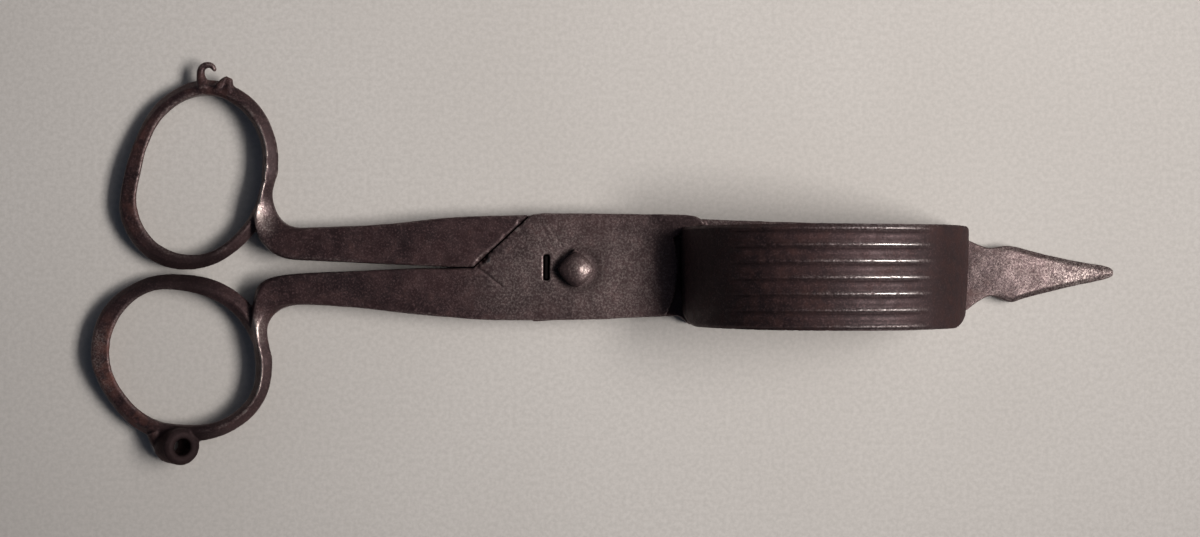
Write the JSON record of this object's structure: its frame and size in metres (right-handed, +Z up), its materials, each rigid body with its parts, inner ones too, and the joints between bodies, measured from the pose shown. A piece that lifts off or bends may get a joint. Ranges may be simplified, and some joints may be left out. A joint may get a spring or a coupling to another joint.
{
  "type": "candle snuffer",
  "caption": "Forged iron candle snuffer: scissor arms with finger bows, a sprung rivet joint, an arched reeded box that catches the cut wick, and a flat leaf-shaped point.",
  "frame": {"origin": "on the rivet's axis, at the plane that the snuffer lies on", "axes": "+X along the snuffer towards its point, +Y towards the box arm's finger bow, +Z up through the joint and the top of the box"},
  "size_m": [0.1714, 0.0673, 0.0265],
  "materials": {
    "forged_iron": "dark brown patina on hand-forged wrought iron, worn grey on edges, neck and point, with red rust on the bows",
    "box_iron": "dark brown patina on hammered iron strip, bright on the crests of the reeds, lightly pitted",
    "rivet_iron": "worn grey-brown iron, hammer-peened and rubbed smooth",
    "spring_steel": "blued spring steel, dulled by age"
  },
  "bodies": {
    "box_side": {"box_arm": "forged_iron", "box_crown": "box_iron", "box_back": "box_iron", "pivot_rivet": "rivet_iron", "pivot_rove": "rivet_iron"},
    "cutter_side": {"cutter_arm": "forged_iron", "press_plate": "box_iron", "closing_spring": "spring_steel"}
  },
  "joints": [
    {"name": "pivot_hinge", "type": "hinge", "parent": "box_side", "child": "cutter_side", "pos_m": [0, 0, 0.0051], "axis": [0, 0, 1], "range_deg": [0, 75], "stiffness_Nm_per_rad": 0.02, "springref_deg": -28.65}
  ]
}
